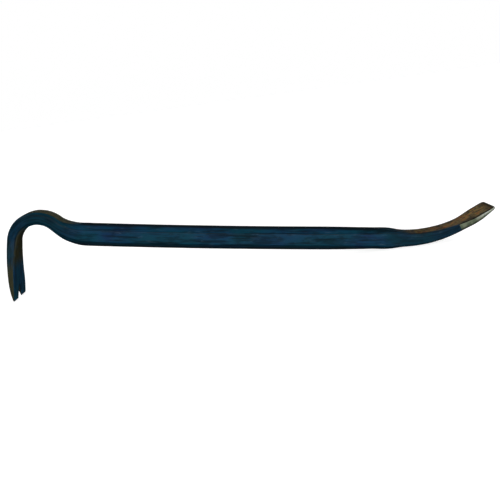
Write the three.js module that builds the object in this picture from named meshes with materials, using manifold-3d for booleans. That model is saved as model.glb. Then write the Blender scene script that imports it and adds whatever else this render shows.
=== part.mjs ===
// An 18 inch gooseneck pry bar (wrecking bar), forged in one piece from hexagonal steel bar.
// One end is drawn out, bent over through most of a half turn and split by a nail slot: the claw.
// The other end is drawn out flat and swept up: the chisel blade.
//
// Millimetres. The bar is laid out along its centreline in the plane of its bends:
// X runs along the shank from the gooseneck to the blade, Z is up, and Y is across the bar.
// The finished bar is then turned about Y until it stands on its claw tips and its heel,
// which is how such a bar stands on a floor, and centred over the origin on that floor.

import * as THREE from "three";
import { mergeVertices } from "three/addons/utils/BufferGeometryUtils.js";
import Module from "manifold-3d";

const radians = THREE.MathUtils.degToRad;

// Bar stock: a 20 mm hexagon with one pair of corners in the plane of the bends.
const HEX_FLATS = 20;
const HEX_CORNERS = HEX_FLATS / Math.cos(radians(30));
const CORNER_WEAR = 1.2; // width of the flat worn on a corner of the hexagon

// Centreline, from the claw tips to the edge of the blade. Angles are in degrees. A turn to
// the left is positive, so the gooseneck turns right and the blade turns left.
const CLAW_HEADING = 98.2; // the way the claw rises from its tips, measured from X
const CLAW_LENGTH = 55.5;
const CLAW_TURN = -12.4;
const CREST_RADIUS = 24.5;
const CREST_TURN = -124.3;
const NECK_RADIUS = 48;
const SHANK_LENGTH = 271;
const SHANK_BOW = 1.9; // the slight bend that forging leaves in the shank, hollow side up
const HEEL_LENGTH = 30; // straight stretch in which the hexagon becomes flat
const SWEEP_RADIUS = 116;
const SWEEP_TURN = 36.4;
const BLADE_LENGTH = 16; // straight end of the blade

const CLAW_WIDTH = 37;
const CREST_WIDTH = 21;
const BLADE_WIDTH = 35.6;

// The plain hexagon of the shank.
const HEXAGON = {
  thick: HEX_CORNERS / 2 - (CORNER_WEAR / 2) * Math.tan(radians(30)),
  wide: HEX_FLATS / 2,
  top: CORNER_WEAR / 2,
  side: HEX_CORNERS / 4,
};

// Cross-sections, each at a fraction of the way through a piece of the centreline. They have
// eight corners: thick is the half thickness in the plane of the bends and wide the half width
// across it. The corners are given either by a chamfer, or by top, which is half the width of
// the flat at the top and bottom, and side, which is half the height of the flat at each side.
const PROFILE = [
  { piece: "claw", at: 0, thick: 0.5, wide: CLAW_WIDTH / 2, chamfer: 0.3 },
  { piece: "claw", at: 0.2, thick: 2.1, wide: CLAW_WIDTH / 2, chamfer: 0.5 },
  { piece: "claw", at: 0.45, thick: 3, wide: 17, chamfer: 0.8 },
  { piece: "claw", at: 0.7, thick: 3.5, wide: 15.3, chamfer: 0.9 },
  { piece: "claw", at: 0.88, thick: 4.4, wide: 12.5, chamfer: 1.3 },
  { piece: "crest", at: 0.06, thick: 5.1, wide: CREST_WIDTH / 2, chamfer: 1.8 },
  { piece: "crest", at: 0.5, thick: 6, wide: CREST_WIDTH / 2, chamfer: 2.4 },
  { piece: "crest", at: 1, thick: 6.4, wide: CREST_WIDTH / 2, chamfer: 2.6 },
  { piece: "neck", at: 0.49, thick: 8.7, wide: 10.5, top: 6.4, side: 4.4 },
  { piece: "shank", at: 0, ...HEXAGON },
  { piece: "shank", at: 0.81, ...HEXAGON },
  { piece: "heel", at: 0, thick: 10.1, wide: 10, top: 2.8, side: 5.9 },
  { piece: "heel", at: 0.5, thick: 9.3, wide: 10.2, top: 6.8, side: 6.9 },
  { piece: "heel", at: 1, thick: 6.7, wide: 10.8, chamfer: 1 },
  { piece: "sweep", at: 0.4, thick: 5, wide: 11.9, chamfer: 0.8 },
  { piece: "sweep", at: 0.75, thick: 3.3, wide: 13.2, chamfer: 0.6 },
  { piece: "blade", at: 0, thick: 2.3, wide: BLADE_WIDTH / 2 - 0.3, chamfer: 0.5 },
  { piece: "blade", at: 1, thick: 0.8, wide: BLADE_WIDTH / 2, chamfer: 0.3 },
];
const WIDEST_CHAMFER = 0.6; // as a share of the half thickness

// Corners seen from the flat of the claw and of the blade.
const CLAW_CORNER = 1.2;
const BLADE_CORNER = 4;

// Nail slot in the claw.
const SLOT_MOUTH = 11;
const SLOT_DEPTH = 15;
const SLOT_ROOT = 1; // radius at the closed end of the slot
const SLOT_ARC_STEPS = 6;

// Spacing of the cross-sections that the skin is built on, in millimetres and degrees.
const STATION_STEP = 3;
const STATION_TURN = 4;
const STATION_GAP = 0.08; // two stations are never closer than this
const END_STATIONS = [0, 0.1, 0.5, 1.2, 2.5]; // distances from each end, for its round corners

// Search for the level on which the bar stands.
const CLAW_SHARE = 0.25; // the first cross-sections, as a share of all, that hold the claw tips
const SETTLING_STEPS = 3; // the lowest tip and the slope are found in turn, this many times

// Dark blue-green enamel.
const ENAMEL = { color: 0x12303f, roughness: 0.42, metalness: 0.3 };

// The centreline as a chain of arcs and straight lines. The neck turns the bar back until the
// middle of the shank runs along X.
function centrelinePieces() {
  const arc = (radius, turn) => ({ length: radius * Math.abs(radians(turn)), turn });
  const neckTurn = -(CLAW_HEADING + CLAW_TURN + CREST_TURN + SHANK_BOW / 2);
  return {
    claw: { length: CLAW_LENGTH, turn: CLAW_TURN },
    crest: arc(CREST_RADIUS, CREST_TURN),
    neck: arc(NECK_RADIUS, neckTurn),
    shank: { length: SHANK_LENGTH, turn: SHANK_BOW },
    heel: { length: HEEL_LENGTH, turn: 0 },
    sweep: arc(SWEEP_RADIUS, SWEEP_TURN),
    blade: { length: BLADE_LENGTH, turn: 0 },
  };
}

const pieces = centrelinePieces();

// The distance along the centreline at a fraction of the way through one of its pieces.
function along(name, fraction = 0) {
  let s = 0;
  for (const [key, piece] of Object.entries(pieces)) {
    if (key === name) return s + fraction * piece.length;
    s += piece.length;
  }
  throw new Error(`no piece is called ${name}`);
}

const END = along("blade", 1);

// Position and heading at the distance s along the centreline, which starts at the claw tips.
function pointAt(s) {
  const at = new THREE.Vector2();
  let heading = radians(CLAW_HEADING);
  let left = s;
  for (const piece of Object.values(pieces)) {
    const run = Math.min(left, piece.length);
    const half = (radians(piece.turn) * run) / piece.length / 2;
    const chord = half === 0 ? run : (run * Math.sin(half)) / half;
    at.x += chord * Math.cos(heading + half);
    at.y += chord * Math.sin(heading + half);
    heading += 2 * half;
    left -= run;
  }
  return { at, heading };
}

// The profile as distances along the centreline with four sizes each. Between them the sizes
// change smoothly.
const SECTIONS = PROFILE.map(({ piece, at, thick, wide, chamfer = 0, ...flats }) => {
  const cut = Math.min(chamfer, WIDEST_CHAMFER * thick);
  return { s: along(piece, at), thick, wide, top: wide - cut, side: thick - cut, ...flats };
});

// Slopes for a smooth curve through the sections that never overshoots them.
function slopesOf(key) {
  const rise = SECTIONS.slice(1).map((to, i) => {
    return (to[key] - SECTIONS[i][key]) / (to.s - SECTIONS[i].s);
  });
  return SECTIONS.map((_, i) => {
    const before = rise[i - 1] ?? rise[i];
    const after = rise[i] ?? rise[i - 1];
    return before * after <= 0 ? 0 : (2 * before * after) / (before + after);
  });
}

const SIZES = ["thick", "wide", "top", "side"];
const SLOPES = Object.fromEntries(SIZES.map((key) => [key, slopesOf(key)]));

function sectionAt(s) {
  const i = Math.min(SECTIONS.findLastIndex((section) => section.s <= s), SECTIONS.length - 2);
  const [from, to] = [SECTIONS[i], SECTIONS[i + 1]];
  const step = to.s - from.s;
  const u = (s - from.s) / step;
  const rise = u * u * (3 - 2 * u);
  const sizes = {};
  for (const key of SIZES) {
    const bend = (1 - u) * SLOPES[key][i] - u * SLOPES[key][i + 1];
    sizes[key] = from[key] + (to[key] - from[key]) * rise + step * u * (1 - u) * bend;
  }
  const inset = cornerInset(s, CLAW_CORNER) + cornerInset(END - s, BLADE_CORNER);
  sizes.wide -= inset;
  sizes.top -= inset;
  return sizes;
}

// How far a rounded corner of this radius sets the side in, at this distance from the end.
function cornerInset(distance, radius) {
  const reach = Math.max(radius - distance, 0);
  return radius - Math.sqrt(radius * radius - reach * reach);
}

// The distances along the centreline at which the skin has a cross-section: even along each
// piece, and close together at the rounded ends.
function stations() {
  const marks = SECTIONS.map((section) => section.s);
  for (const distance of END_STATIONS) marks.push(distance, END - distance);
  for (const [name, { length, turn }] of Object.entries(pieces)) {
    const steps = Math.ceil(Math.max(length / STATION_STEP, Math.abs(turn) / STATION_TURN));
    for (let i = 0; i < steps; i += 1) marks.push(along(name, i / steps));
  }
  marks.sort((a, b) => a - b);
  return marks.filter((s, i) => i === 0 || s - marks[i - 1] > STATION_GAP);
}

// The eight corners of the bar at the distance s, anticlockwise as seen from the claw end.
function ringAt(s) {
  const { at, heading } = pointAt(s);
  const { thick, wide, top, side } = sectionAt(s);
  const corners = [
    [-wide, -side],
    [-wide, side],
    [-top, thick],
    [top, thick],
    [wide, side],
    [wide, -side],
    [top, -thick],
    [-top, -thick],
  ];
  return corners.map(([across, up]) => {
    return [at.x - up * Math.sin(heading), across, at.y + up * Math.cos(heading)];
  });
}

// A closed skin over the rings, with a fan of triangles over each end.
function loft(rings) {
  const size = rings[0].length;
  const index = [];
  for (let r = 0; r + 1 < rings.length; r += 1) {
    for (let i = 0; i < size; i += 1) {
      const next = (i + 1) % size;
      const [a, b] = [r * size + i, r * size + next];
      index.push(a, a + size, b, b, a + size, b + size);
    }
  }
  const last = (rings.length - 1) * size;
  for (let i = 1; i + 1 < size; i += 1) {
    index.push(0, i, i + 1);
    index.push(last, last + i + 1, last + i);
  }
  const geometry = new THREE.BufferGeometry();
  geometry.setAttribute("position", new THREE.Float32BufferAttribute(rings.flat(2), 3));
  geometry.setIndex(index);
  return geometry;
}

// The nail slot: a V with a rounded root, standing on the claw's tips and passing through it.
function slotCutter() {
  const past = 4; // how far the cutter reaches beyond the tips
  const depth = 20; // far more than the claw's thickness
  const mouth = SLOT_MOUTH / 2;
  const centre = SLOT_DEPTH - SLOT_ROOT;
  const lean = Math.atan2(mouth, centre) - Math.asin(SLOT_ROOT / Math.hypot(mouth, centre));
  const foot = mouth + past * Math.tan(lean);
  const outline = new THREE.Shape();
  outline.moveTo(-foot, -past);
  outline.lineTo(foot, -past);
  outline.absarc(0, centre, SLOT_ROOT, lean, Math.PI - lean);
  const geometry = new THREE.ExtrudeGeometry(outline, {
    depth,
    bevelEnabled: false,
    curveSegments: SLOT_ARC_STEPS,
  });
  const { at, heading } = pointAt(SLOT_DEPTH / 2);
  const tips = pointAt(0).at;
  const up = new THREE.Vector3(Math.cos(heading), 0, Math.sin(heading));
  const across = new THREE.Vector3(0, 1, 0);
  const through = new THREE.Vector3().crossVectors(across, up);
  const corner = new THREE.Vector3(at.x, 0, at.y).addScaledVector(up, -at.distanceTo(tips));
  corner.addScaledVector(through, -depth / 2);
  return geometry.applyMatrix4(new THREE.Matrix4().makeBasis(across, up, through).setPosition(corner));
}

const wasm = await Module();
wasm.setup();

const SAME_POINT = 1e-4; // points closer than this are one point

function toSolid(geometry) {
  geometry.deleteAttribute("normal");
  geometry.deleteAttribute("uv");
  const merged = mergeVertices(geometry, SAME_POINT);
  const vertProperties = new Float32Array(merged.attributes.position.array);
  const triVerts = new Uint32Array(merged.index.array);
  return new wasm.Manifold(new wasm.Mesh({ numProp: 3, vertProperties, triVerts }));
}

function toGeometry(solid) {
  const mesh = solid.getMesh();
  const geometry = new THREE.BufferGeometry();
  geometry.setAttribute("position", new THREE.Float32BufferAttribute(mesh.vertProperties, 3));
  geometry.setIndex(Array.from(mesh.triVerts));
  geometry.computeVertexNormals();
  return geometry;
}

// The turn about Y that brings the claw tips and the heel down to one level: the slope of the
// line that touches both from below.
function standingAngle(rings) {
  const claw = rings.filter((_, i) => i < rings.length * CLAW_SHARE).flat();
  const rest = rings.flat().filter(([x]) => x > claw[0][0] + SHANK_LENGTH / 2);
  let slope = 0;
  for (let i = 0; i < SETTLING_STEPS; i += 1) {
    const height = ([x, , z]) => z - slope * x;
    const tip = claw.reduce((low, point) => (height(point) < height(low) ? point : low));
    slope = Math.min(...rest.map(([x, , z]) => (z - tip[2]) / (x - tip[0])));
  }
  return Math.atan(slope);
}

function forgedBar(rings) {
  const geometry = toGeometry(toSolid(loft(rings)).subtract(toSolid(slotCutter())));
  const paintedSteel = new THREE.MeshStandardMaterial(ENAMEL);
  const bar = new THREE.Mesh(geometry, paintedSteel);
  bar.name = "forged_bar";
  return bar;
}

const rings = stations().map(ringAt);
const pryBar = new THREE.Group();
pryBar.add(forgedBar(rings));
pryBar.rotation.y = standingAngle(rings);
const box = new THREE.Box3().setFromObject(pryBar, true);
const centre = box.getCenter(new THREE.Vector3());
pryBar.position.set(-centre.x, -centre.y, -box.min.z);

export default pryBar;
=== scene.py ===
"""The looks of an 18 inch gooseneck pry bar: one forging of hexagonal steel, painted, with its claw
worn and its blade ground back to the steel.

The bar is lofted again from the sizes of its CAD source, with rounded corners, forging marks and a
finer grid. Sizes are in millimetres, and angles in degrees, until a mesh is made; Blender and the
frame are in metres.
"""

import math

import bpy
import numpy as np
from mathutils import Matrix, Vector, kdtree, noise


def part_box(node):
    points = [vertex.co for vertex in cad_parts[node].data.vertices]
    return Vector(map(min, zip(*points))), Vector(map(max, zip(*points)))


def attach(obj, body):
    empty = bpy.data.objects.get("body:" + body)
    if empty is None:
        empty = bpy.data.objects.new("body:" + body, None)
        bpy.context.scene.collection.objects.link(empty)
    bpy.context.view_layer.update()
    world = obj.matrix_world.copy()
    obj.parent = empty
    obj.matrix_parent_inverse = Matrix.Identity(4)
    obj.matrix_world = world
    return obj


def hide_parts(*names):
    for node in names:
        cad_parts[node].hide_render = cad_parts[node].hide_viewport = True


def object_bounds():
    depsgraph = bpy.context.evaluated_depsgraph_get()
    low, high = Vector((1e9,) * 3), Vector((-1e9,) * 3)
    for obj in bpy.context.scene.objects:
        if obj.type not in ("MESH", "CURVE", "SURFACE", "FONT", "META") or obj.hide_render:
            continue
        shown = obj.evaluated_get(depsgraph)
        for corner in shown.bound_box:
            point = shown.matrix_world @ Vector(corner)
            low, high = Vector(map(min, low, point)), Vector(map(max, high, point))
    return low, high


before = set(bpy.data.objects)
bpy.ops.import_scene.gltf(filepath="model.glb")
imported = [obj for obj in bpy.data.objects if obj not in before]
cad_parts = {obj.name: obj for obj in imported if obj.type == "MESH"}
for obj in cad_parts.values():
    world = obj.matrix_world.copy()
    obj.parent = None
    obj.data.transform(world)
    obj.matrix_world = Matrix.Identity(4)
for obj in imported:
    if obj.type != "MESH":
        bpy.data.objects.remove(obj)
cad_low, cad_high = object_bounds()

MM = 0.001
NODE = "forged_bar"

# Bar stock: a 20 mm hexagon with one pair of corners in the plane of the bends.
HEX_FLATS = 20
HEX_CORNERS = HEX_FLATS / math.cos(math.radians(30))
CORNER_WEAR = 1.2

# Centreline from the claw tips to the edge of the blade; a turn to the left is positive.
CLAW_HEADING = 98.2
CLAW_LENGTH = 55.5
CLAW_TURN = -12.4
CREST_RADIUS = 24.5
CREST_TURN = -124.3
NECK_RADIUS = 48
SHANK_LENGTH = 271
SHANK_BOW = 1.9
HEEL_LENGTH = 30
SWEEP_RADIUS = 116
SWEEP_TURN = 36.4
BLADE_LENGTH = 16

# Half widths, and the corners seen from the flat of the claw and of the blade.
CLAW_HALF = 18.5
CREST_HALF = 10.5
BLADE_HALF = 17.8
CLAW_CORNER = 1.2
BLADE_CORNER = 4

# Nail slot in the claw.
SLOT_MOUTH = 11
SLOT_DEPTH = 15
SLOT_ROOT = 1
SLOT_CHAMFER = 0.35
SLOT_SIDE_STEPS, SLOT_ROOT_STEPS = 12, 8
SLOT_SPARE = 4  # how far the cutter reaches past the claw's tips
CUTTER_SPARE = 1  # and past its two faces

# The visual mesh.
WIDEST_CHAMFER = 0.6  # as a share of the half thickness
STATION_STEP = 1.5
STATION_GAP = 0.02
NEAR_END = [0.03, 0.1, 0.2, 0.35, 0.6, 1.0, 2.2, 3.7]  # extra stations, as distances from each end
FILLET_STEPS = 4
WIDEST_FILLET = 0.42  # as a share of the flats beside it
END_ROUND = 0.3
SIDE_STEPS, SLANT_STEPS, TOP_STEPS = 8, 7, 14
SHARP_ANGLE = 32

# Unevenness of the surface: rolling waves, forging flats and dents, with their sizes along the bar,
# across it and up, and a shift so that they do not line up.
WAVE_SIZE, WAVE_SHIFT, WAVE_HEIGHT = (45, 60, 60), (0, 0, 3), 0.05
FLAT_SIZE, FLAT_SHIFT, FLAT_HEIGHT = (13, 9, 9), (0, 7, 0), 0.13
DENT_SIZE, DENT_SHIFT, DENT_DEPTH = (6.5, 6, 6), (20, 0, 0), 0.22
DENT_START = -0.18  # dents lie where their noise is below this
CORNER_SINK = 0.05  # how far the corners are worn below the smooth form
RELIEF_FADE = 6  # the unevenness fades out over this length at both ends

# Search for the level on which the bar stands.
STANDING_STATIONS = 400
CLAW_SHARE = 0.25
SETTLING_STEPS = 3


# ---------------------------------------------------------------- the shape


def arc_length(radius, turn):
    return radius * abs(math.radians(turn))


NECK_TURN = -(CLAW_HEADING + CLAW_TURN + CREST_TURN + SHANK_BOW / 2)
PIECES = {
    "claw": (CLAW_LENGTH, CLAW_TURN),
    "crest": (arc_length(CREST_RADIUS, CREST_TURN), CREST_TURN),
    "neck": (arc_length(NECK_RADIUS, NECK_TURN), NECK_TURN),
    "shank": (SHANK_LENGTH, SHANK_BOW),
    "heel": (HEEL_LENGTH, 0),
    "sweep": (arc_length(SWEEP_RADIUS, SWEEP_TURN), SWEEP_TURN),
    "blade": (BLADE_LENGTH, 0),
}


def along(name, fraction=0.0):
    """The distance along the centreline at a fraction of the way through one of its pieces."""
    s = 0.0
    for key, (length, _) in PIECES.items():
        if key == name:
            return s + fraction * length
        s += length
    raise KeyError(name)


END = along("blade", 1)


def point_at(s):
    """Position and heading in the plane of the bends, at the distance s from the claw tips."""
    x = z = 0.0
    heading = math.radians(CLAW_HEADING)
    left = s
    for length, turn in PIECES.values():
        run = min(left, length)
        half = math.radians(turn) * run / length / 2
        chord = run if half == 0 else run * math.sin(half) / half
        x += chord * math.cos(heading + half)
        z += chord * math.sin(heading + half)
        heading += 2 * half
        left -= run
    return x, z, heading


def chamfered(piece, at, thick, wide, chamfer):
    """The distance, half thickness, half width, half top flat and half side flat of a section."""
    cut = min(chamfer, WIDEST_CHAMFER * thick)
    return along(piece, at), thick, wide, wide - cut, thick - cut


def hexagon(piece, at):
    """As chamfered, for the bar stock with its corners slightly worn."""
    thick = HEX_CORNERS / 2 - CORNER_WEAR / 2 * math.tan(math.radians(30))
    return along(piece, at), thick, HEX_FLATS / 2, CORNER_WEAR / 2, HEX_CORNERS / 4


# The sections along the bar, in half sizes; the skin runs smoothly from one to the next.
SECTIONS = np.array(
    [
        chamfered("claw", 0, 0.5, CLAW_HALF, 0.3),
        chamfered("claw", 0.2, 2.1, CLAW_HALF, 0.5),
        chamfered("claw", 0.45, 3, 17, 0.8),
        chamfered("claw", 0.7, 3.5, 15.3, 0.9),
        chamfered("claw", 0.88, 4.4, 12.5, 1.3),
        chamfered("crest", 0.06, 5.1, CREST_HALF, 1.8),
        chamfered("crest", 0.5, 6, CREST_HALF, 2.4),
        chamfered("crest", 1, 6.4, CREST_HALF, 2.6),
        (along("neck", 0.49), 8.7, 10.5, 6.4, 4.4),
        hexagon("shank", 0),
        hexagon("shank", 0.81),
        (along("heel"), 10.1, 10, 2.8, 5.9),
        (along("heel", 0.5), 9.3, 10.2, 6.8, 6.9),
        chamfered("heel", 1, 6.7, 10.8, 1),
        chamfered("sweep", 0.4, 5, 11.9, 0.8),
        chamfered("sweep", 0.75, 3.3, 13.2, 0.6),
        chamfered("blade", 0, 2.3, BLADE_HALF - 0.3, 0.5),
        chamfered("blade", 1, 0.8, BLADE_HALF, 0.3),
    ]
)


def smooth_slopes():
    """Slopes for a smooth curve through the sections that never overshoots them."""
    rise = np.diff(SECTIONS[:, 1:], axis=0) / np.diff(SECTIONS[:, 0])[:, None]
    before = np.vstack([rise[:1], rise])
    after = np.vstack([rise, rise[-1:]])
    total = np.where(before * after > 0, before + after, 1)
    return np.where(before * after > 0, 2 * before * after / total, 0)


SLOPES = smooth_slopes()


def rounded_end(distance, radius):
    """How far a rounded corner of this radius sets the side in, at this distance from the end."""
    reach = max(radius - distance, 0)
    return radius - math.sqrt(radius * radius - reach * reach)


def section_at(s):
    """Half thickness, half width, half top flat and half side flat at the distance s."""
    i = min(int(np.searchsorted(SECTIONS[:, 0], s, side="right")) - 1, len(SECTIONS) - 2)
    start, step = SECTIONS[i, 0], SECTIONS[i + 1, 0] - SECTIONS[i, 0]
    u = (s - start) / step
    bend = (1 - u) * SLOPES[i] - u * SLOPES[i + 1]
    sizes = SECTIONS[i, 1:] + (SECTIONS[i + 1, 1:] - SECTIONS[i, 1:]) * u * u * (3 - 2 * u)
    thick, wide, top, side = sizes + step * u * (1 - u) * bend
    inset = rounded_end(s, CLAW_CORNER) + rounded_end(END - s, BLADE_CORNER)
    return thick, wide - inset, top - inset, side


def corners_of(thick, wide, top, side):
    """The eight corners of a section as (across, up), starting at the near lower one."""
    return np.array(
        [
            (-wide, -side),
            (-wide, side),
            (-top, thick),
            (top, thick),
            (wide, side),
            (wide, -side),
            (top, -thick),
            (-top, -thick),
        ]
    )


def fillet_radius(s):
    """The rounding of the corners: rolled on the shank, forged soft on the bends, crisp at the ends."""
    radii = {
        0: 0.35,
        20: 0.8,
        along("crest"): 1.9,
        along("neck"): 2.2,
        along("shank", 0.05): 1.3,
        along("heel"): 1.4,
        along("sweep"): 1.2,
        END: 0.3,
    }
    return float(np.interp(s, list(radii), list(radii.values())))


STEPS = [SIDE_STEPS, SLANT_STEPS, TOP_STEPS, SLANT_STEPS] * 2


def fillets_at(s):
    """Each corner of the section with the directions back and ahead and the reach of its fillet."""
    thick, wide, top, side = section_at(s)
    tip = rounded_end(min(s, END - s), END_ROUND)
    corners = corners_of(thick - tip, wide - tip, top - tip, side - min(tip, side / 2))
    radius = fillet_radius(s)
    fillets = []
    for i, corner in enumerate(corners):
        back = corners[i - 1] - corner
        ahead = corners[(i + 1) % 8] - corner
        reach_back, reach_ahead = np.linalg.norm(back), np.linalg.norm(ahead)
        back, ahead = back / reach_back, ahead / reach_ahead
        half_turn = (math.pi - math.acos(np.clip(back @ ahead, -1, 1))) / 2
        widest = WIDEST_FILLET * min(reach_back, reach_ahead)
        fillets.append((corner, back, ahead, min(radius * math.tan(half_turn), widest)))
    return fillets


def outline_at(s):
    """The section with rounded corners, as rows of across, up, the outward normal and the crown.

    The crown is 1 on top of a corner, and 0 on the flats.
    """
    fillets = fillets_at(s)
    rows = []
    for i, (corner, back, ahead, reach) in enumerate(fillets):
        normal_in = np.array([back[1], -back[0]])
        normal_out = np.array([-ahead[1], ahead[0]])
        for k in range(FILLET_STEPS + 1):
            t = k / FILLET_STEPS
            place = corner + back * reach * (1 - t) ** 2 + ahead * reach * t**2
            normal = normal_in * (1 - t) + normal_out * t
            normal /= np.linalg.norm(normal)
            rows.append((*place, *normal, 1 - abs(2 * t - 1)))
        nxt, nxt_back, _, nxt_reach = fillets[(i + 1) % 8]
        start = corner + ahead * reach
        stop = nxt + nxt_back * nxt_reach
        for k in range(1, STEPS[i]):
            place = start + (stop - start) * k / STEPS[i]
            rows.append((*place, *normal_out, 0))
    return np.array(rows)


def stations():
    """Distances along the bar, closer together at its two rounded ends."""
    even = np.linspace(0, END, math.ceil(END / STATION_STEP) + 1)
    near_end = np.array(NEAR_END)
    marks = np.sort(np.concatenate([even, near_end, END - near_end]))
    return marks[np.concatenate([[True], np.diff(marks) > STATION_GAP])]


def forged_share(s):
    """1 where the bar has been forged, 0 on the plain rolled shank."""
    places = [along("neck", 0.6), along("shank", 0.08), along("shank", 0.8), along("heel", 0.2)]
    return float(np.interp(s, places, [1, 0, 0, 1]))


def noise_at(place, size, shift):
    return noise.noise(Vector([value / step + move for value, step, move in zip(place, size, shift)]))


def relief(s, across, up, crown):
    """Height of the surface above the smooth form."""
    place = (s, across, up)
    wave = noise_at(place, WAVE_SIZE, WAVE_SHIFT)
    flats = noise_at(place, FLAT_SIZE, FLAT_SHIFT)
    dents = noise_at(place, DENT_SIZE, DENT_SHIFT)
    forged = FLAT_HEIGHT * flats + DENT_DEPTH * min(0.0, dents - DENT_START)
    height = WAVE_HEIGHT * wave + forged_share(s) * forged - CORNER_SINK * crown * (1 + flats)
    return height * min(1.0, s / RELIEF_FADE, (END - s) / RELIEF_FADE)


def to_plane(s, across, up):
    """A point of a section, in the bar's own frame, in which the bends lie in the XZ plane."""
    x, z, heading = point_at(s)
    return x - up * math.sin(heading), across, z + up * math.cos(heading)


def to_plane_past(s, across, up):
    """As to_plane, and straight on past the claw's tips for a negative distance."""
    x, y, z = to_plane(max(s, 0), across, up)
    heading = math.radians(CLAW_HEADING)
    return x + min(s, 0) * math.cos(heading), y, z + min(s, 0) * math.sin(heading)


def standing_angle():
    """The turn about Y that brings the claw tips and the heel down to one level."""
    marks = np.linspace(0, END, STANDING_STATIONS)
    rings = np.array([[to_plane(s, a, u) for a, u in corners_of(*section_at(s))] for s in marks])
    claw = rings[: int(len(marks) * CLAW_SHARE)].reshape(-1, 3)
    rest = rings.reshape(-1, 3)
    rest = rest[rest[:, 0] > claw[0, 0] + SHANK_LENGTH / 2]
    slope = 0.0
    for _ in range(SETTLING_STEPS):
        tip = claw[np.argmin(claw[:, 2] - slope * claw[:, 0])]
        slope = np.min((rest[:, 2] - tip[2]) / (rest[:, 0] - tip[0]))
    return math.atan(slope)


STANDING = standing_angle()


def slot_outline():
    """Half of the nail slot's outline in the flat of the claw: distance, across, outward normal."""
    mouth, centre = SLOT_MOUTH / 2, SLOT_DEPTH - SLOT_ROOT
    lean = math.atan2(mouth, centre) - math.asin(SLOT_ROOT / math.hypot(mouth, centre))
    rows = []
    for s in np.linspace(-SLOT_SPARE, centre + SLOT_ROOT * math.sin(lean), SLOT_SIDE_STEPS):
        rows.append((s, mouth - s * math.tan(lean), math.sin(lean), math.cos(lean)))
    for turn in np.linspace(lean, math.pi / 2, SLOT_ROOT_STEPS + 1)[1:]:
        away = math.sin(turn), math.cos(turn)
        rows.append((centre + SLOT_ROOT * away[0], SLOT_ROOT * away[1], *away))
    return rows


def mesh_object(name, points, faces):
    mesh = bpy.data.meshes.new(name)
    mesh.from_pydata([tuple(p) for p in points], [], faces)
    mesh.validate()
    made = bpy.data.objects.new(name, mesh)
    bpy.context.scene.collection.objects.link(made)
    return made


def slot_cutter():
    """The nail slot with a small chamfer where it meets the claw's two faces."""
    half = slot_outline()
    outline = half + [(s, -a, ns, -na) for s, a, ns, na in reversed(half[:-1])]
    points = []
    for sign, outside in ((-1, True), (-1, False), (1, False), (1, True)):
        for s, across, normal_s, normal_a in outline:
            thick = section_at(max(s, 0))[0]
            chamfer = min(SLOT_CHAMFER, thick / 2)
            spread, level = 0, thick - chamfer
            if outside:
                spread, level = chamfer + CUTTER_SPARE, thick + CUTTER_SPARE
            point = to_plane_past(s + normal_s * spread, across + normal_a * spread, sign * level)
            points.append(Vector(point) * MM)
    size = len(outline)
    faces = [list(range(size)), list(reversed(range(3 * size, 4 * size)))]
    for level in range(3):
        for i in range(size):
            a, b = level * size + i, level * size + (i + 1) % size
            faces.append([b, a, a + size, b + size])
    return mesh_object("slot_cutter", points, faces)


def loft_bar():
    """The bar in its own frame, with its points and the place of each point for the materials.

    A place is s, across and up in mm, then aside, height and crown as shares, then facing: how far
    the skin faces up.
    """
    points, places, faces = [], [], []
    marks = stations()
    for s in marks:
        thick, wide = section_at(s)[:2]
        for across, up, normal_a, normal_u, crown in outline_at(s):
            height = relief(s, across, up, crown)
            places.append((s, across, up, abs(across) / wide, up / thick, crown, normal_u))
            points.append(Vector(to_plane(s, across + height * normal_a, up + height * normal_u)) * MM)
    size = len(points) // len(marks)
    for r in range(len(marks) - 1):
        for i in range(size):
            a, b = r * size + i, r * size + (i + 1) % size
            faces.append([a, a + size, b + size, b])
    last = (len(marks) - 1) * size
    faces.append(list(range(size)))
    faces.append(list(reversed(range(last, last + size))))
    return mesh_object("bar_visual", points, faces), points, np.array(places)


def cut_slot(bar):
    cutter = slot_cutter()
    cut = bar.modifiers.new("slot", "BOOLEAN")
    cut.operation = "DIFFERENCE"
    cut.solver = "EXACT"
    cut.object = cutter
    graph = bpy.context.evaluated_depsgraph_get()
    mesh = bpy.data.meshes.new_from_object(bar.evaluated_get(graph))
    bar.modifiers.clear()
    bar.data = mesh
    bpy.data.objects.remove(cutter)


def keep_places(bar, points, places):
    """Gives each vertex of the cut bar its place in the straightened bar, for the materials."""
    tree = kdtree.KDTree(len(points))
    for i, point in enumerate(points):
        tree.insert(point, i)
    tree.balance()
    nearest = [tree.find(v.co)[1] for v in bar.data.vertices]
    found = places[nearest]
    for name, first in (("straight_mm", 0), ("section", 3)):
        attribute = bar.data.attributes.new(name, "FLOAT_VECTOR", "POINT")
        attribute.data.foreach_set("vector", found[:, first : first + 3].astype(np.float32).ravel())
    facing = bar.data.attributes.new("facing", "FLOAT", "POINT")
    facing.data.foreach_set("value", found[:, 6].astype(np.float32))


def stand(bar):
    """Turns the bar onto its claw tips and heel, and puts it in the CAD node's box."""
    bar.data.transform(Matrix.Rotation(STANDING, 4, "Y"))
    corners = np.array([v.co for v in bar.data.vertices])
    low, high = corners.min(0), corners.max(0)
    node_low, node_high = np.array(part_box(NODE))
    shift = (node_low + node_high - low - high) / 2
    shift[2] = node_low[2] - low[2]
    bar.data.transform(Matrix.Translation(Vector(shift)))


bar, loft_points, loft_places = loft_bar()
cut_slot(bar)
keep_places(bar, loft_points, loft_places)
stand(bar)
for polygon in bar.data.polygons:
    polygon.use_smooth = True
bar.data.set_sharp_from_angle(angle=math.radians(SHARP_ANGLE))


# ---------------------------------------------------------------- the material


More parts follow.
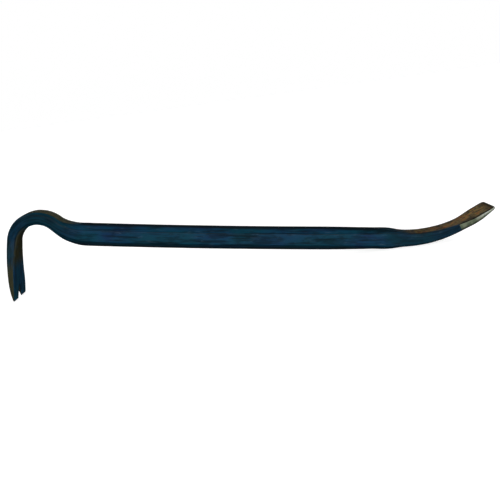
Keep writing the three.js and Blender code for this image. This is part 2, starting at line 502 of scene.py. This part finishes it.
class Nodes:
    """A short way to write the node tree of a material or a world."""

    def __init__(self, owner):
        owner.use_nodes = True
        self.tree = owner.node_tree
        self.tree.nodes.clear()

    def add(self, kind, **settings):
        node = self.tree.nodes.new(kind)
        for key, value in settings.items():
            setattr(node, key, value)
        return node

    def put(self, socket, value):
        if isinstance(value, bpy.types.NodeSocket):
            self.tree.links.new(value, socket)
        else:
            socket.default_value = value

    def attribute(self, name, output="Fac"):
        return self.add("ShaderNodeAttribute", attribute_name=name).outputs[output]

    def math(self, operation, a, b, clamp=False):
        node = self.add("ShaderNodeMath", operation=operation, use_clamp=clamp)
        self.put(node.inputs[0], a)
        self.put(node.inputs[1], b)
        return node.outputs[0]

    def times(self, a, b):
        return self.math("MULTIPLY", a, b)

    def larger(self, a, b):
        return self.math("MAXIMUM", a, b)

    def inverse(self, share):
        return self.math("SUBTRACT", 1, share)

    def part(self, vector, index):
        node = self.add("ShaderNodeSeparateXYZ")
        self.put(node.inputs[0], vector)
        return node.outputs[index]

    def stretch(self, vector, factors):
        node = self.add("ShaderNodeVectorMath", operation="MULTIPLY")
        self.put(node.inputs[0], vector)
        self.put(node.inputs[1], factors)
        return node.outputs[0]

    def noise(self, vector, size, detail=2.0, roughness=0.5, distortion=0.0):
        """Noise whose features are about this many millimetres across."""
        node = self.add("ShaderNodeTexNoise")
        self.put(node.inputs["Vector"], vector)
        self.put(node.inputs["Scale"], 1 / size)
        self.put(node.inputs["Detail"], detail)
        self.put(node.inputs["Roughness"], roughness)
        self.put(node.inputs["Distortion"], distortion)
        return node.outputs[0]

    def step(self, value, low, high):
        """0 below low, 1 above high, and smooth between them."""
        node = self.add("ShaderNodeMapRange", interpolation_type="SMOOTHSTEP")
        self.put(node.inputs["Value"], value)
        self.put(node.inputs["From Min"], low)
        self.put(node.inputs["From Max"], high)
        return node.outputs[0]

    def mix(self, share, a, b):
        node = self.add("ShaderNodeMix", data_type="RGBA")
        self.put(node.inputs[0], share)
        self.put(node.inputs[6], a)
        self.put(node.inputs[7], b)
        return node.outputs[2]

    def blend(self, share, a, b):
        node = self.add("ShaderNodeMix", data_type="FLOAT")
        self.put(node.inputs[0], share)
        self.put(node.inputs[2], a)
        self.put(node.inputs[3], b)
        return node.outputs[0]

    def bump(self, height, distance, normal=None):
        """Height from 0 to 1 stands for this many millimetres."""
        node = self.add("ShaderNodeBump")
        self.put(node.inputs["Height"], height)
        self.put(node.inputs["Distance"], distance * MM)
        if normal is not None:
            self.put(node.inputs["Normal"], normal)
        return node.outputs[0]

    def finish(self, shader, output="ShaderNodeOutputMaterial"):
        self.put(self.add(output).inputs["Surface"], shader.outputs[0])


def colour(*seen):
    """A colour given as it is seen, 0 to 255, as the linear values that shaders take."""
    shares = [value / 255 for value in seen]
    linear = [c / 12.92 if c <= 0.0404 else ((c + 0.055) / 1.055) ** 2.4 for c in shares]
    return (*linear, 1)


PAINT_BLUE = colour(8, 57, 84)
PAINT_TEAL = colour(3, 59, 77)
PAINT_VIOLET = colour(15, 45, 79)
PAINT_PALE = colour(74, 96, 116)
# PAINT_DARK darkens streaks and mottle, and is also painted shade on the corners and the shank's ridges.
PAINT_DARK = colour(2, 12, 18)
OLIVE = colour(51, 52, 33)
OCHRE = colour(128, 108, 50)
BROWN = colour(94, 80, 48)
# BROWN_DARK darkens grain and patches of scale, and is also painted shade on the blade's rims and on the
# ground steel.
BROWN_DARK = colour(22, 19, 12)
RUST = colour(146, 84, 32)
STEEL = colour(106, 120, 96)
STEEL_LIGHT = colour(144, 154, 128)
# A painted glint on the ground steel near the edge.
STEEL_PAINTED_GLINT = colour(226, 230, 220)
SPECULAR = 0.25


# Places along the bar where the finish changes.
GROUND_START = END - 36
BEVEL_START = END - 10.9
NECK_END = (along("neck", 0.4), along("shank"))
HEEL_END = (along("sweep"), along("heel"))


class Place:
    """A point of the skin: its place in the straightened bar in mm, and in its section as shares."""

    def __init__(self, n):
        section = n.attribute("section", "Vector")
        self.mm = n.attribute("straight_mm", "Vector")
        self.s = n.part(self.mm, 0)
        self.aside = n.part(section, 0)
        self.height = n.part(section, 1)
        self.crown = n.part(section, 2)
        self.facing = n.attribute("facing")

    def drawn_out(self, n, s=1.0, across=1.0, up=1.0):
        """The place with its axes scaled: noise is longer along an axis with a factor below 1."""
        return n.stretch(self.mm, (s, across, up))


def enamel(n, at, lines):
    """Blue to teal, with streaks along the bar, darker on the forged ends, and with painted shade on the
    corners and the ridges.
    """
    drift = n.noise(at.drawn_out(n, s=0.5), 17, detail=3)
    mottle = n.noise(at.drawn_out(n, s=0.2), 2.8, detail=4, roughness=0.6)
    scuffs = n.noise(at.drawn_out(n, s=0.15), 1.8, detail=3, roughness=0.6, distortion=0.3)
    paint = n.mix(n.step(drift, 0.42, 0.6), PAINT_BLUE, PAINT_TEAL)
    paint = n.mix(n.times(n.step(drift, 0.44, 0.3), 0.8), paint, PAINT_VIOLET)
    paint = n.mix(n.times(n.step(mottle, 0.52, 0.38), 0.45), paint, PAINT_DARK)
    paint = n.mix(n.times(n.step(lines, 0.5, 0.38), 0.6), paint, PAINT_DARK)
    paint = n.mix(n.times(n.step(scuffs, 0.6, 0.72), 0.35), paint, PAINT_PALE)
    on_shank = n.times(n.step(at.s, *NECK_END), n.step(at.s, *HEEL_END))
    outside = n.times(n.inverse(on_shank), n.step(at.facing, -0.8, -0.5))
    paint = n.mix(n.times(outside, 0.4), paint, PAINT_DARK)
    # Painted shade: the top and bottom ridges of the shank and every corner are darkened towards
    # PAINT_DARK.
    painted_ridge_shade = n.times(n.step(n.math("ABSOLUTE", at.height, 0), 0.75, 0.9), on_shank)
    return n.mix(n.larger(n.times(painted_ridge_shade, 0.95), n.times(at.crown, 0.6)), paint, PAINT_DARK)


def forging_scale(n, at, patch, grain):
    """Brown scale with rust: ochre towards the blade's edge, with painted shade at its borders."""
    warm = n.times(n.step(at.s, END - 55, END - 12), n.step(patch, 0.4, 0.6))
    brown = n.mix(warm, BROWN, OCHRE)
    brown = n.mix(n.times(n.step(grain, 0.56, 0.38), 0.95), brown, BROWN_DARK)
    brown = n.mix(n.times(n.step(patch, 0.52, 0.64), 0.6), brown, RUST)
    brown = n.mix(n.times(n.step(patch, 0.46, 0.32), 0.8), brown, BROWN_DARK)
    # Painted shade: the long rims of the blade's face and its end are darkened.
    painted_rim_shade = n.larger(n.step(at.aside, 0.68, 0.88), n.step(at.s, END - 7, END - 2))
    return n.mix(n.times(painted_rim_shade, 0.85), brown, BROWN_DARK)


def ground_steel(n, at, marks):
    """Grey-green steel with the marks of the wheel, a painted glint at the top near the edge, and painted
    shade below and along the top rim.
    """
    cloud = n.noise(at.mm, 5)
    # Painted highlight: a glint near the top of the ground sides, broken up by the wheel marks.
    painted_glint = n.times(n.step(at.height, -0.3, 0.5), n.step(at.s, END - 24, END - 10))
    painted_glint = n.times(painted_glint, n.step(marks, 0.3, 0.6))
    steel = n.mix(n.step(cloud, 0.35, 0.6), STEEL, STEEL_LIGHT)
    steel = n.mix(painted_glint, steel, STEEL_PAINTED_GLINT)
    # Painted shade: the lower part of the ground sides is darkened.
    low = n.times(n.step(at.height, 0, -0.8), n.step(at.facing, -0.8, -0.5))
    steel = n.mix(n.times(low, 0.9), steel, BROWN_DARK)
    # Painted shade: a dark line along the top rim of the ground sides.
    return n.mix(n.times(n.step(at.height, 0.82, 0.98), 0.6), steel, BROWN_DARK)


def bare_share(n, at, ragged):
    """1 on the hollow face of the blade, from a ragged start on the heel, with paint over its rims."""
    start = n.step(n.math("ADD", at.s, n.times(ragged, 30)), along("heel", 0.85), along("sweep", 0.2))
    bare = n.times(n.step(at.facing, 0.35, 0.8), start)
    rim = n.step(n.math("ADD", at.aside, n.times(ragged, 0.7)), 0.74, 0.9)
    painted = n.times(n.step(at.s, END - 80, END - 60), n.step(at.s, GROUND_START + 2, GROUND_START - 2))
    return n.times(bare, n.inverse(n.times(rim, painted)))


def ground_share(n, at, sideways):
    """1 on the sides of the blade near its edge, and on the bevel under the edge."""
    sides = n.times(sideways, n.step(at.s, GROUND_START - 0.3, GROUND_START + 0.3))
    bevel = n.times(n.step(at.facing, -0.5, -0.8), n.step(at.s, BEVEL_START - 0.3, BEVEL_START + 0.3))
    return n.larger(sides, bevel)


def thin_share(n, at, sideways, patch, ragged):
    """1 where the enamel is rubbed thin: the claw's sides, the hook's hollow, the crest and corners."""
    claw = n.times(sideways, n.step(n.math("SUBTRACT", at.s, ragged), 42, 26))
    inside = n.times(n.step(at.s, 28, 42), n.step(at.s, along("crest", 0.5), along("crest", 0.2)))
    inside = n.times(n.step(at.facing, -0.4, -0.8), inside)
    crest_start = n.step(at.s, along("crest", 0.35), along("crest", 0.6))
    crest_end = n.step(at.s, along("neck", 0.8), along("neck", 0.2))
    crest = n.times(n.step(at.facing, 0.75, 0.95), n.times(crest_start, crest_end))
    thin = n.larger(claw, n.larger(inside, crest))
    thin = n.times(thin, n.step(n.math("ADD", patch, 0.12), 0.35, 0.6))
    corners = n.step(n.math("ADD", at.crown, n.times(ragged, 1.2)), 0.9, 1.3)
    return n.math("MAXIMUM", thin, n.times(corners, 0.35), clamp=True)


def forging_material():
    material = bpy.data.materials.new("painted_forging")
    n = Nodes(material)
    at = Place(n)
    lines = n.noise(at.drawn_out(n, s=0.06), 2.4, detail=4, roughness=0.6)
    peel = n.noise(at.mm, 1.1, detail=1)
    patch = n.noise(at.drawn_out(n, s=0.6), 5.5, detail=4, roughness=0.62, distortion=0.6)
    grain = n.noise(at.drawn_out(n, s=0.85, across=0.55), 2.6, detail=4, roughness=0.6)
    marks = n.noise(at.drawn_out(n, across=0.08, up=0.08), 0.7, detail=3, roughness=0.7)
    ragged = n.times(n.math("SUBTRACT", patch, 0.5), 1.3)
    sideways = n.step(n.math("ABSOLUTE", at.facing, 0), 0.75, 0.45)

    bare = bare_share(n, at, ragged)
    ground = ground_share(n, at, sideways)
    thin = thin_share(n, at, sideways, patch, ragged)

    base = n.mix(thin, enamel(n, at, lines), OLIVE)
    base = n.mix(bare, base, forging_scale(n, at, patch, grain))
    base = n.mix(ground, base, ground_steel(n, at, marks))

    roughness = n.blend(thin, n.blend(peel, 0.3, 0.42), 0.55)
    roughness = n.blend(bare, roughness, n.blend(grain, 0.55, 0.75))
    roughness = n.blend(ground, roughness, n.blend(marks, 0.28, 0.5))
    metallic = n.blend(bare, n.times(thin, 0.1), 0.1)
    metallic = n.blend(ground, metallic, 0.4)

    normal = n.bump(lines, 0.05)
    normal = n.bump(n.times(peel, n.inverse(bare)), 0.05, normal)
    normal = n.bump(n.times(grain, bare), 0.12, normal)
    normal = n.bump(n.times(marks, ground), 0.03, normal)

    shader = n.add("ShaderNodeBsdfPrincipled")
    n.put(shader.inputs["Base Color"], base)
    n.put(shader.inputs["Roughness"], roughness)
    n.put(shader.inputs["Metallic"], metallic)
    n.put(shader.inputs["Specular IOR Level"], SPECULAR)
    n.put(shader.inputs["Normal"], normal)
    n.finish(shader)
    return material


bar.data.materials.clear()
bar.data.materials.append(forging_material())
bar.name = "pry_bar"
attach(bar, "root")
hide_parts(NODE)


# ---------------------------------------------------------------- the studio


FLOOR_HALF = 30


def floor_material():
    material = bpy.data.materials.new("pale_floor")
    n = Nodes(material)
    shader = n.add("ShaderNodeBsdfPrincipled")
    n.put(shader.inputs["Base Color"], (0.5, 0.5, 0.5, 1))
    n.put(shader.inputs["Roughness"], 0.9)
    n.put(shader.inputs["Emission Color"], (1, 1, 1, 1))
    n.put(shader.inputs["Emission Strength"], 0.8)
    n.finish(shader)
    return material


def make_floor():
    """A pale floor that is only seen directly: the bar is lit by the world and the lamps alone."""
    half = FLOOR_HALF
    corners = [(-half, -half, 0), (half, -half, 0), (half, half, 0), (-half, half, 0)]
    floor = mesh_object("floor", corners, [[0, 1, 2, 3]])
    floor.data.materials.append(floor_material())
    floor.location.z = cad_low.z
    floor.visible_glossy = False
    floor.visible_diffuse = False


WORLD_SEEN = 1.0
WORLD_ABOVE = 0.22
WORLD_BELOW = 0.15
WORLD_REFLECTED = 0.02


def make_world():
    """White to the eye, soft from above and dim from below as light, and nearly dark in reflections."""
    world = bpy.data.worlds.new("studio")
    bpy.context.scene.world = world
    n = Nodes(world)
    ray = n.add("ShaderNodeLightPath").outputs
    direction = n.add("ShaderNodeTexCoord").outputs["Generated"]
    above = n.math("GREATER_THAN", n.part(direction, 2), 0)
    strength = n.times(ray["Is Diffuse Ray"], n.blend(above, WORLD_BELOW, WORLD_ABOVE))
    strength = n.math("ADD", strength, n.times(ray["Is Camera Ray"], WORLD_SEEN))
    strength = n.math("ADD", strength, n.times(ray["Is Glossy Ray"], WORLD_REFLECTED))
    background = n.add("ShaderNodeBackground")
    n.put(background.inputs["Color"], (1, 1, 1, 1))
    n.put(background.inputs["Strength"], strength)
    n.finish(background, "ShaderNodeOutputWorld")


def aimed(made, place, target, up=Vector((0, 0, 1))):
    """Places an object that looks along its own -Z at a target, with up at the top of its view."""
    back = (Vector(place) - Vector(target)).normalized()
    right = up.cross(back).normalized()
    top = back.cross(right)
    rows = Matrix((right, top, back)).transposed()
    made.matrix_world = Matrix.Translation(place) @ rows.to_4x4()


def from_angles(azimuth, elevation, distance):
    """A place round the origin; azimuth 0 is in front of the bar, and 90 to its right."""
    a, e = math.radians(azimuth), math.radians(elevation)
    return Vector((math.sin(a) * math.cos(e), -math.cos(a) * math.cos(e), math.sin(e))) * distance


# Low, soft suns for the shading: azimuth, elevation and strength.
SUNS = {
    "key": (8, 8, 2.5),
    "back": (190, 10, 2.8),
    "left": (-88, 12, 1.1),
    "right": (84, 4, 2.2),
}
SUN_SPREAD = 50
SUN_DISTANCE = 3

# Softboxes that are only seen in reflections: azimuth, elevation, width, height and power.
SOFTBOXES = {
    "box_front": (-2, 20, 1.0, 0.25, 1.5),
    "box_back": (182, 45, 1.0, 0.4, 0.8),
    "box_left": (-85, 50, 0.5, 0.5, 0.4),
    "box_right": (85, 50, 0.5, 0.5, 0.6),
}
SOFTBOX_DISTANCE = 1.4


def placed_light(name, light, place):
    made = bpy.data.objects.new(name, light)
    bpy.context.scene.collection.objects.link(made)
    aimed(made, place, (0, 0, 0))
    return made


def make_lights():
    for name, (azimuth, elevation, strength) in SUNS.items():
        sun = bpy.data.lights.new(name, "SUN")
        sun.energy = strength
        sun.angle = math.radians(SUN_SPREAD)
        made = placed_light(name, sun, from_angles(azimuth, elevation, SUN_DISTANCE))
        made.visible_glossy = False
    for name, (azimuth, elevation, width, height, power) in SOFTBOXES.items():
        box = bpy.data.lights.new(name, "AREA")
        box.shape = "RECTANGLE"
        box.size = width
        box.size_y = height
        box.energy = power
        made = placed_light(name, box, from_angles(azimuth, elevation, SOFTBOX_DISTANCE))
        made.visible_diffuse = False
        made.visible_camera = False


# The camera stands in front of the middle and above the bar, rolled close to the slope of the shank.
CAMERA_PLACE = Vector((0.0068, -0.6712, 0.1598))
CAMERA_TARGET = Vector((-0.0015, 0, 0.0154))
CAMERA_LENS = 51.53
CAMERA_SENSOR = 36
CAMERA_REACH = 200
CAMERA_ROLL = 0.98


def make_camera():
    data = bpy.data.cameras.new("camera")
    data.lens = CAMERA_LENS
    data.sensor_width = CAMERA_SENSOR
    data.clip_end = CAMERA_REACH
    camera = bpy.data.objects.new("camera", data)
    bpy.context.scene.collection.objects.link(camera)
    shank_up = Vector((math.sin(STANDING), 0, math.cos(STANDING)))
    aimed(camera, CAMERA_PLACE, CAMERA_TARGET, shank_up)
    camera.matrix_world = camera.matrix_world @ Matrix.Rotation(math.radians(CAMERA_ROLL), 4, "Z")
    bpy.context.scene.camera = camera


make_floor()
make_world()
make_lights()
make_camera()
bpy.context.scene.view_settings.view_transform = "Standard"
